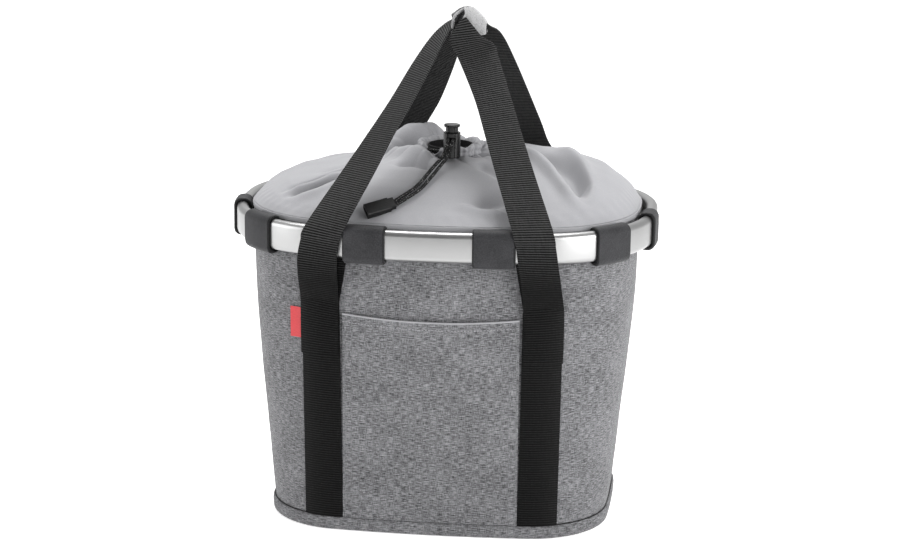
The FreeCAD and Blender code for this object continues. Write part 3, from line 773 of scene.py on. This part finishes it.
def make_pocket():
    """The front pocket, which gapes slightly at its hemmed top edge."""
    xs = np.linspace(-POCKET_HALF_W, POCKET_HALF_W, 97)
    shares = np.linspace(0, 1, 60)
    edge = pocket_edge(xs)
    outer, inner = zip(*(pocket_row(share, xs, edge) for share in shares))
    front, back = ripple(before_wall(outer), before_wall(inner), 30.0, 0.25, 6)
    piece = cloth_between("pocket_cloth", front, back, "melange_fabric", sharp=60)
    keep(piece, "basket", "front_pocket", "pocket_hem")
    hem_row = front[np.argmin(np.abs(shares - (POCKET_SEAM_Z - POCKET_LOW) / (edge.min() - POCKET_LOW)))]
    normals = np.tile([0.0, -1.0, 0.1], (len(hem_row), 1))
    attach(stitches("pocket_stitches", hem_row, normals, "binding_tape"), "basket")
    # Pale tube on the pocket's top: the real rolled hem, with its paler colour a painted highlight where the edge
    # catches the light.
    top_line = (front[-1] + back[-1]) / 2 + [0, -0.5, 0.2]
    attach(tube("pocket_edge", top_line, 0.8, "binding_tape", around=10), "basket")


def make_label():
    """A folded ribbon caught under the left strap's edge."""
    xs = np.linspace(-117.2, -105.5, 13)
    heights = np.linspace(162.0, 187.5, 14)
    outer, inner = [], []
    for z in heights:
        row = face_row(z, xs, 0.0)
        lift = 0.9 + 1.3 * np.clip((-108 - xs) / 9.0, 0, 1) ** 2
        outer.append(row + np.stack([0 * xs, -lift - 0.5, 0 * xs], -1))
        inner.append(row + np.stack([0 * xs, -lift + 0.3, 0 * xs], -1))
    piece = cloth_between("label_ribbon_fold", np.array(outer), np.array(inner), "label_ribbon")
    keep(piece, "basket", "side_label")


# ---- webbing

def webbing_strip(name, surface, slot="black_webbing", thickness=1.7, rib=0.22):
    """Ribbed webbing on a middle surface in millimetres, shape (rows along it, points across it, 3)."""
    middle = surface[:, surface.shape[1] // 2]
    travel = distance_along(middle)
    normal = surface_normals(surface)
    share = np.linspace(-1, 1, surface.shape[1])
    edge = 1 - 0.45 * np.abs(share) ** 8
    ribs = rib * np.cos(2 * math.pi * travel / RIB_PITCH)
    depth = (thickness / 2 + ribs[:, None]) * edge[None]
    sections = np.concatenate([surface + depth[..., None] * normal,
                               (surface - depth[..., None] * normal)[:, ::-1]], 1)
    across_mm = np.concatenate([share, share[::-1]]) * WEBBING_W / 2
    weave = cloth_places(across_mm[None] * MM, travel[:, None] * MM)
    return loft(name, sections, slot, weave, sharp=70)


def between(left, right, across=14):
    """Straight rows between two edge lines."""
    share = np.linspace(0, 1, across)[None, :, None]
    return left[:, None] * (1 - share) + right[:, None] * share


def make_straps():
    """The four straps sewn down the walls."""
    heights = rows_between(WELT_HIGH, 258.0, 0.5)
    for face, side in (("front", -1), ("back", 1)):
        for hand, sign in (("left", -1), ("right", 1)):
            rows = []
            for z in heights:
                centre = sign * np.interp(z, (WELT_HIGH, 195.0, 232.0, 258.0), (88.5, 90.8, 84.5, 84.5))
                xs = np.linspace(centre - WEBBING_W / 2, centre + WEBBING_W / 2, 14)
                rows.append(face_row(z, xs if side < 0 else xs[::-1], 0.95, side))
            node = f"wall_strap_{face}_{hand}"
            keep(webbing_strip(node + "_webbing", np.array(rows)), "basket", node)


def sewn(x, z):
    """Both edges of the webbing where it lies on a front strap, from the place of its left edge."""
    return [face_row(z, np.array([edge]), WEBBING_OUT)[0] for edge in (x, x + WEBBING_W)]


# Left and right edge of the front handle's webbing: LEFT_LEG from foot to apex, RIGHT_LEG from apex to foot
LEFT_LEG = [
    sewn(-107.2, 150),
    sewn(-107.5, 172),
    sewn(-107.4, 194),
    ((-106.5, -115.2, 220), (-74.5, -115.4, 220)),
    ((-106.0, -119.5, 236), (-74.0, -119.8, 236.5)),
    ((-103.3, -120.2, 250), (-71.3, -120.4, 251)),
    ((-99.6, -118.4, 262), (-66.0, -119.4, 264)),
    ((-76.2, -86.0, 298.2), (-46.7, -98.1, 302.5)),
    ((-61.2, -62.1, 321.6), (-35.0, -81.1, 327.7)),
    ((-48.3, -42.9, 342.1), (-23.9, -65.0, 348.9)),
    ((-41.2, -33.0, 354.0), (-18.3, -54.0, 360.5)),
    ((-27.4, -16.0, 378.5), (-7.2, -34.0, 384.5)),
    ((-14.3, -4.5, 398.0), (0.0, -17.5, 400.5)),
    ((-3.0, -1.5, 409.0), (5.0, -11.0, 406.0)),
    ((8.0, -1.5, 415.0), (10.0, -9.5, 408.5)),
]
RIGHT_LEG = [
    ((10.9, -15.6, 414.2), (15.6, -15.4, 416.8)),
    ((6.5, -16.6, 407.4), (20.8, -16.6, 410.8)),
    ((2.7, -17.0, 400.4), (29.5, -17.0, 401.1)),
    ((4.3, -19.0, 393.2), (39.6, -14.5, 394.1)),
    ((11.0, -23.5, 382.5), (44.2, -21.9, 383.3)),
    ((27.0, -46.5, 354.5), (57.2, -45.8, 355.3)),
    ((38.3, -68.0, 329.0), (68.6, -67.4, 329.9)),
    ((50.6, -91.5, 300.4), (81.9, -91.0, 301.2)),
    ((66.0, -118.8, 264.5), (99.0, -118.4, 264.5)),
    ((70.0, -120.4, 250), (102.0, -120.2, 250)),
    ((72.0, -119.8, 236), (104.0, -119.5, 236)),
    ((74.0, -115.4, 220), (106.0, -115.2, 220)),
    sewn(75.4, 194),
    sewn(75.5, 172),
    sewn(75.2, 150),
]


# The back handle's legs in the same way, written as if on the front
BACK_LEFT_LEG = [
    sewn(-107.2, 150),
    sewn(-107.4, 194),
    ((-106.0, -115.2, 220), (-74.0, -115.4, 220)),
    ((-104.0, -119.6, 236), (-72.0, -119.6, 236)),
    ((-102.0, -120.2, 250), (-70.0, -120.2, 250)),
    ((-96.0, -118.5, 264), (-62.0, -118.8, 264.5)),
    ((-78.0, -98.0, 290), (-42.5, -101.0, 290)),
    ((-60.0, -76.0, 318), (-24.5, -78.0, 318)),
    ((-45.0, -56.0, 340), (-12.5, -60.0, 340)),
    ((-25.0, -28.0, 376), (3.2, -28.0, 377)),
    ((-12.0, -14.0, 394), (6.0, -16.0, 391)),
    ((0.0, -8.0, 408), (11.0, -10.0, 402)),
    ((11.0, -6.0, 414), (16.0, -8.0, 406)),
]
BACK_RIGHT_LEG = [
    ((14.0, -5.0, 416), (24.0, -3.0, 414)),
    ((9.0, -8.0, 410), (33.0, -3.0, 407.5)),
    ((14.0, -12.0, 400), (42.3, -7.6, 400.3)),
    ((24.0, -32.0, 376), (52.0, -31.0, 374)),
    ((39.5, -82.0, 314), (68.9, -78.2, 316.7)),
    ((45.0, -102.0, 290), (76.0, -100.4, 290.5)),
    ((58.0, -117.5, 270), (90.0, -117.0, 270)),
    ((67.0, -120.2, 252), (99.0, -120.2, 252)),
    ((71.0, -119.6, 236), (103.0, -119.6, 236)),
    ((74.0, -115.4, 220), (106.0, -115.2, 220)),
    sewn(75.4, 194),
    sewn(75.2, 150),
]


def make_leg(name, edges, side):
    """One leg of a handle, turned to the back for side 1."""
    surface = between(*(smooth(edge, 900) for edge in zip(*edges)))
    for row in surface:
        if row[:, 2].mean() < 236:
            clear = face_row(row[:, 2].mean(), row[:, 0], WEBBING_OUT)[:, 1]
            row[:, 1] = np.minimum(row[:, 1], clear)
    if side > 0:
        surface = surface[:, ::-1] * [1, -1, 1]
    return webbing_strip(name, surface)


def make_handles():
    """Both handles; each leg runs from its sewn foot up to the part that folds."""
    for face, side, *legs in (("front", -1, LEFT_LEG, RIGHT_LEG), ("back", 1, BACK_LEFT_LEG, BACK_RIGHT_LEG)):
        name = f"{face}_handle"
        for hand, edges in zip(("left", "right"), legs):
            leg = make_leg(f"{name}_{hand}_webbing", edges, side)
            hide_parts(f"handle_anchor_{face}_{hand}", name)
            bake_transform(leg)


# ---- rail and its loops

def rail_section(low, high, depth, out, radius, per_corner=6):
    """Rounded rectangle as (distance out, height)."""
    corners = [(out - radius, high - radius, 0), (out - depth + radius, high - radius, 90),
               (out - depth + radius, low + radius, 180), (out - radius, low + radius, 270)]
    points = []
    for x, z, start in corners:
        for k in range(per_corner + 1):
            angle = math.radians(start + 90 * k / per_corner)
            points.append((x + radius * math.cos(angle), z + radius * math.sin(angle)))
    return points


def make_rail():
    """The rail as one bent tube, its two ends meeting at the back."""
    half = len(RAIL) // 2
    points, normals = (closed_line(np.roll(ring, -half, 0)) for ring in (RAIL, outward(RAIL)))
    points[0] += [-0.2, 0]
    points[-1] += [0.2, 0]
    section = rail_section(*RAIL_SECTION)
    sections = []
    for point, normal in zip(points, normals):
        sections.append([(*(point + normal * out), z) for out, z in section])
    keep(loft("rail_tube", sections, "anodised_aluminium", sharp=50), "basket", "frame_rail")


LOOP_PLACES = {
    "front_left": (-51.5, -120.0), "front_right": (51.5, -120.0), "left_front_corner": (-146.0, -85.0),
    "right_front_corner": (146.0, -85.0), "left_end": (-174.6, -23.0), "right_end": (174.6, -23.0),
    "left_back_corner": (-134.2, 95.5), "right_back_corner": (134.2, 95.5), "back_left": (-51.5, 120.0),
    "back_right": (51.5, 120.0),
}


def along_rail(centre, s):
    """Point and outward normal of the rail's outer face, s millimetres along it from a place's own position."""
    lines = closed_line(RAIL), closed_line(outward(RAIL))
    travel = distance_along(lines[0])
    where = (travel[np.argmin(np.linalg.norm(RAIL - centre, axis=1))] + s) % travel[-1]
    return [np.array([np.interp(where, travel, line[:, k]) for k in (0, 1)]) for line in lines]


def band_row(centre, s, profile):
    """One section of a loop, square to the rail."""
    point, normal = along_rail(centre, s)
    return [(*(point + normal * out), z) for out, z in profile]


def make_loops():
    """The fabric loops round the rail, with their dark edges."""
    outer, inner, middle = (rail_section(*numbers) for numbers in LOOP_SECTIONS)
    for number, (name, place) in enumerate(LOOP_PLACES.items()):
        half = 9.0 if name.endswith("_end") else 16.0
        steps = np.linspace(-half, half, 21)
        skins = [np.array([band_row(place, s, section) for s in steps]) for section in (outer, inner)]
        points, faces = two_skins(*skins, (0, -1))
        points = points + grain(points, 8.0, number)[:, None] * 0.12
        piece = mesh_piece(f"loop_{name}_band", points, faces, "loop_webbing", points * MM, 50)
        keep(piece, "basket", f"rail_loop_{name}")
        for end in (-half, half):
            edge = tube(f"loop_{name}_edge_{int(end > 0)}", band_row(place, end, middle), 1.35, "base_fabric",
                        around=10, closed=True)
            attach(edge, "basket")


# ---- cover

MOUTH = np.array([2.0, 0.0])
# Height of the cover at each share of the way from its rim to its mouth, towards the front and elsewhere
FRONT_RISE = [(0, 262.6), (0.1, 269.0), (0.213, 275.0), (0.375, 285.0), (0.482, 290.5), (0.613, 296.0),
              (0.756, 299.3), (1, 300.5)]
ROUND_RISE = [(0, 262.6), (0.04, 270.0), (0.09, 276.0), (0.2, 285.0), (0.4, 292.0), (0.64, 298.0), (0.83, 301.5),
              (1, 301.0)]

# Long soft folds of the cover: points (x, y) along it, half width, height; a negative height is a hollow
FOLDS = [
    ([(-126, -64), (-104, -60), (-82, -45), (-66, -32)], 3.4, -6.5),
    ([(-129, -54), (-107, -46), (-86, -29), (-70, -14)], 3.2, -5.5),
    ([(-126, -59), (-105, -53), (-84, -37)], 3.4, 2.5),
    ([(-120, -73), (-98, -70), (-76, -55)], 5.0, 3.0),
    ([(-104, -22), (-84, -10), (-64, -2)], 6.0, -3.0),
    ([(-52, -10), (-30, -20), (-8, -34)], 8.0, 9.0),
    ([(-56, 4), (-36, 2), (-20, -2)], 5.0, -8.0),
    ([(-40, -38), (-22, -40), (-4, -50)], 4.5, -6.0),
    ([(-62, 24), (-40, 30), (-12, 34)], 13.0, 11.0),
    ([(-46, 36), (-30, 38), (-8, 33)], 13.0, 10.0),
    ([(-66, 8), (-44, 13), (-24, 19)], 5.0, -10.0),
    ([(26, 6), (36, 14), (46, 26)], 8.0, 6.0),
    ([(28, -10), (46, -24)], 5.0, -5.0),
    ([(32, -26), (60, -44)], 6.0, 4.0),
    ([(30, -42), (52, -56)], 5.0, -4.5),
    ([(60, 18), (82, 6), (98, -12), (107, -30), (113, -48), (116, -60)], 10.5, -15.0),
    ([(84, 42), (104, 14), (119, -24), (124, -50), (122, -68)], 6.5, 5.0),
    ([(52, -2), (70, -18), (86, -36), (98, -53), (110, -68), (119, -74)], 6.0, 8.0),
    ([(34, -86), (46, -84), (60, -78)], 6.0, -5.0),
    ([(14, -90), (40, -93), (66, -98)], 4.0, 3.0),
]


def fold_height(plan):
    """Sum of the folds at points in plan."""
    total = np.zeros(plan.shape[:-1])
    for points, width, height in FOLDS:
        line = smooth([(x, y, 0) for x, y in points], 60)[:, :2] if len(points) > 2 else np.linspace(*points, 60)
        taper = np.clip(np.minimum(np.arange(60), 59 - np.arange(60)) / 12, 0.15, 1)
        away = np.linalg.norm(plan[..., None, :] - line, axis=-1)
        weight = np.exp(-(away / width) ** 2) * taper
        total += height * weight.max(axis=-1)
    return total


def gathers(angle, share):
    """Rounded ridges and sharp valleys that grow towards the mouth."""
    total = np.zeros_like(share)
    sets = ((7, 0.4, 3.0, 0.35), (11, 1.3, 3.4, 0.5), (19, 0.2, 2.2, 0.66), (33, 0.9, 0.7, 0.84))
    for count, phase, size, start in sets:
        swing = np.abs(np.sin(count * angle / 2 + phase + 0.9 * np.sin(2 * angle + phase)))
        total += size * (swing ** 0.7 - 0.6) * np.clip((share - start) / (1 - start), 0, 1) ** 1.2
    return total


def make_cover():
    """The gathered cover from the walls to its mouth, with its folds."""
    rim = spread(closed_line(wall_ring(WALL_HEIGHT, -0.6)), 601)[:-1]
    angle = np.arctan2((rim[:, 1] - MOUTH[1]) / 108.0, (rim[:, 0] - MOUTH[0]) / 161.0)
    mouth = MOUTH + 22.0 * np.stack([np.cos(angle), np.sin(angle)], -1)
    share = np.concatenate([np.linspace(0, 0.12, 16, endpoint=False), np.linspace(0.12, 1, 84)])[:, None]
    plan = rim + (mouth - rim) * share[..., None]
    front = np.clip(-np.sin(angle), 0, 1)[None] ** 1.5
    rise = [np.interp(share, *np.array(table).T) for table in (FRONT_RISE, ROUND_RISE)]
    z = rise[0] * front + rise[1] * (1 - front)
    z = z + 7.0 * np.cos(angle)[None] * (1 - front) * 4 * share * (1 - share)
    share = np.broadcast_to(share, z.shape)
    fade = np.clip(share / 0.1, 0, 1)
    z = z + (fold_height(plan) + gathers(np.broadcast_to(angle, z.shape), share)) * fade
    pucker = np.sin(74 * angle + 2 * np.sin(5 * angle)) * 0.25 * np.exp(-((share - 0.05) / 0.04) ** 2)
    soft = grain(np.concatenate([plan, z[..., None]], -1), 26.0, 5) * 1.2 * fade
    outer = np.concatenate([plan, (z + pucker + soft)[..., None]], -1)
    inner = outer - surface_normals(outer) * 0.5
    sections = np.concatenate([outer, inner[::-1]]).transpose(1, 0, 2)
    piece = loft("cover_cloth", sections, "cover_fabric", sections.reshape(-1, 3) * MM, closed=True, sharp=75)
    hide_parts("cover")
    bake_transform(piece)


def make_mouth():
    """The gathered hem with the cord's tunnel, and the ruffle that stands above it."""
    sections = []
    for angle in np.linspace(0, 2 * math.pi, 480, endpoint=False):
        ruffle = 3.0 * abs(math.sin(5.5 * angle + 0.4 + 0.6 * math.sin(3 * angle))) + 0.35 * math.sin(37 * angle)
        lump = 2.5 * abs(math.sin(4.5 * angle + 1.1))
        profile = [(23.0, 300.0), (24.5 + ruffle, 302.5), (24.0 + ruffle * 0.6, 305.0),
                   (25.0 + ruffle, 307.0 + lump * 0.6), (23.6 + ruffle * 1.1, 308.8 + lump),
                   (21.0 + ruffle * 0.8, 308.2 + lump * 0.8), (19.6, 305.0), (19.4, 302.5), (20.2, 300.0)]
        gap = math.exp(-((angle - 4.15) / 0.30) ** 4)
        ring = [(r - 1.6 * gap, 300 + (z - 300) * (1 - 0.72 * gap)) for r, z in smooth(profile, 26)]
        sections.append([(MOUTH[0] + r * math.cos(angle), MOUTH[1] + r * math.sin(angle), z) for r, z in ring])
    sections = np.array(sections)
    piece = loft("mouth_hem_cloth", sections, "cover_fabric", sections.reshape(-1, 3) * MM, closed=True, sharp=75)
    keep(piece, "cover_mouth", "mouth_hem")
    # Near-black sleeve inside the mouth: a dark sheet as painted shade, so the opening reads dark.
    turns = np.linspace(0, 2 * math.pi, 180, endpoint=False)
    throat = [[(MOUTH[0] + r * math.cos(turn), MOUTH[1] + r * math.sin(turn), z)
               for r, z in ((18.9, 292.0), (18.9, 308.0), (18.2, 308.5), (18.2, 292.0))] for turn in turns]
    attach(loft("mouth_shade_sleeve", throat, "base_fabric", closed=True), "cover_mouth")


# ---- cords and lock

TAIL_LEFT = [
    (5.5, -43.5, 319.6), (5.4, -47.6, 318.6), (4.6, -49.4, 314.2), (2.3, -50.2, 307.5), (-3.0, -57.0, 302.2),
    (-9.6, -68.0, 294.4), (-15.4, -77.0, 287.6), (-23.0, -84.5, 282.8), (-32.0, -90.6, 277.6),
]
TAIL_RIGHT = [
    (9.1, -43.5, 319.6), (9.0, -47.6, 318.6), (8.2, -49.4, 314.2), (5.8, -51.2, 307.0), (0.6, -59.0, 301.0),
    (-5.8, -70.0, 292.9), (-11.8, -79.0, 286.1), (-20.2, -86.6, 281.0), (-30.4, -93.2, 275.2),
]


def nurbs_line(name, points):
    """Points of the smooth NURBS line with these control points, in millimetres."""
    curve = bpy.data.curves.new(name, "CURVE")
    curve.dimensions = "3D"
    spline = curve.splines.new("NURBS")
    spline.points.add(len(points) - 1)
    for target, point in zip(spline.points, points):
        target.co = (*(c * MM for c in point), 1.0)
    spline.order_u = 3
    spline.use_endpoint_u = True
    curve.resolution_u = 16
    holder = bpy.data.objects.new(name, curve)
    mesh = bpy.data.meshes.new_from_object(holder)
    line = np.array([v.co for v in mesh.vertices]) / MM
    bpy.data.objects.remove(holder)
    return line


def make_cords():
    """The two free tails of the drawcord."""
    end_cap = frame["nodes"]["cord_end"]
    set_material(end_cap, "end_rubber")
    for name, points, length in (("cord_tail_left", TAIL_LEFT, 0.077), ("cord_tail_right", TAIL_RIGHT, 0.081)):
        line = spread(nurbs_line(name + "_line", points), 220)
        cord = tube(name + "_cord", line, CORD_R, "braided_cord", around=20, braid=0.06)
        keep(cord, "cord_tail", name)


def make_drawcord():
    """The cord in the hem, and its two ends led out to the lock."""
    angles = np.linspace(0, 2 * math.pi, 240, endpoint=False)
    ring = MOUTH + CORD_RING_R * np.stack([np.cos(angles), np.sin(angles)], -1)
    hoop = tube("drawcord_hoop", with_height(ring, CORD_RING_Z), CORD_R, "braided_cord", around=12, closed=True)
    keep(hoop, "cover_mouth", "drawcord")
    for k, x in enumerate((5.5, 9.1)):
        line = smooth([(x, -20.9, 306), (x, -21.2, 313), (x, -23.5, 318.2), (x, -29, 319.6), (x, -43.7, 319.6)], 90)
        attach(tube(f"drawcord_end_{k}", line, CORD_R, "braided_cord", around=14, braid=0.05), "cover_mouth")


def set_material(piece, slot):
    """The piece has this material and no other."""
    piece.data.materials.clear()
    piece.data.materials.append(MATERIALS[slot])


def finish_cad_nodes():
    """CAD pieces that stay as they are get their procedural materials."""
    slots = {row["node"]: row["material_slot"] for row in frame["record"]["subparts"]}
    for name, node in frame["nodes"].items():
        if not node.hide_render:
            set_material(node, slots[name])


def make_spring():
    """The lock's spring: a coil filling the CAD spring's box; the real one shortens as the button goes in."""
    low, high = (np.array(corner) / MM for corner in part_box("lock_spring"))
    turns = np.linspace(0, 2 * math.pi * SPRING_TURNS, 150)
    middle, radius = (low + high) / 2, (high[0] - low[0]) / 2 - SPRING_WIRE_R
    rise = np.linspace(low[2] + SPRING_WIRE_R, high[2] - SPRING_WIRE_R, len(turns))
    line = np.stack([middle[0] + radius * np.cos(turns), middle[1] + radius * np.sin(turns), rise], -1)
    piece = tube("lock_spring_coil", line, SPRING_WIRE_R, "spring_steel", around=10)
    keep(piece, "cord_lock", "lock_spring")
    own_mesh(piece)


# Along the cuff from its open left end: place, height of its middle, radius
CUFF_SHAPE = [(-14.5, 408.0, 8.5), (-12.0, 408.0, 10.2), (-8.0, 408.6, 13.0), (-4.0, 409.0, 14.3),
              (0.0, 409.2, 14.4), (4.0, 408.6, 13.6), (9.0, 407.2, 11.2), (13.0, 405.8, 8.8), (15.0, 405.0, 6.4)]
# Where the flap's left edge lies, by degrees from the top
FLAP_EDGE = [(0.0, -4.0), (50.0, -2.0), (90.0, -7.0), (122.0, -11.0)]


def round_cuff(turns, start, finish, shrink, rows=48):
    """Grid round the grip's axis: turns in degrees from the top, positive to the back."""
    shape = np.array(CUFF_SHAPE)
    grid = np.zeros((rows, len(turns), 3))
    for column, (turn, low) in enumerate(zip(turns, np.broadcast_to(start, len(turns)))):
        s = np.linspace(low, finish, rows)
        middle = np.interp(s, shape[:, 0], shape[:, 1])
        uneven = 1 + 0.015 * np.sin(math.radians(5 * turn) + s * 0.3)
        radius = (np.interp(s, shape[:, 0], shape[:, 2]) - shrink) * uneven
        y, z = radius * math.sin(math.radians(turn)), middle + radius * math.cos(math.radians(turn))
        grid[:, column] = np.stack([CUFF_CENTRE[0] + s, CUFF_CENTRE[1] + y, z], -1)
    return grid


def make_cuff():
    """Brushed wrap over the top of the grip: one half sewn to the back handle, a flap over the front."""
    back = np.linspace(0.5, 122, 44)
    edge = np.interp(back, *np.array(FLAP_EDGE).T)
    halves = (("grip_cuff", "back_handle", back, -14.5), ("grip_flap", "grip_flap", -back, edge))
    for name, body, turns, start in halves:
        outer, inner = round_cuff(turns, start, 15.0, 0.0), round_cuff(turns, start, 15.0, 1.5)
        outer, inner = ripple(outer, inner, 7.0, 0.3, 9)
        keep(cloth_between(name + "_fabric", outer, inner, "cuff_fleece", sharp=60), body, name)
    roll = round_cuff(np.linspace(-70, 118, 80), -13.6, 8.0, 4.5)
    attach(webbing_strip("grip_roll", roll.transpose(1, 0, 2), "base_fabric"), "back_handle")
    rim = smooth([(3.9, -10.5, 399.5), (3.8, -10.5, 403.0), (4.0, -10.3, 408.0), (4.5, -9.5, 414.0),
                  (6.1, -8.0, 417.2), (8.9, -5.0, 419.6), (12.6, -3.0, 421.6), (16.0, -2.0, 423.0)], 60)
    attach(tube("flap_rim", rim, 1.15, "cuff_fleece", around=12), "grip_flap")
    # Dark tube along the fold across the front handle's left leg: painted shade in the crease.
    crease = smooth([(-9.8, -4.4, 402.6), (-5.0, -10.9, 401.8), (0.2, -18.3, 400.7)], 20)
    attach(tube("handle_crease_shade", crease, 0.7, "base_fabric", around=8), "front_handle")


make_camera()
make_studio()
make_cords()
make_bag()
make_straps()
make_handles()
make_rail()
make_loops()
make_cover()
make_mouth()
make_drawcord()
make_cuff()
make_spring()
finish_cad_nodes()
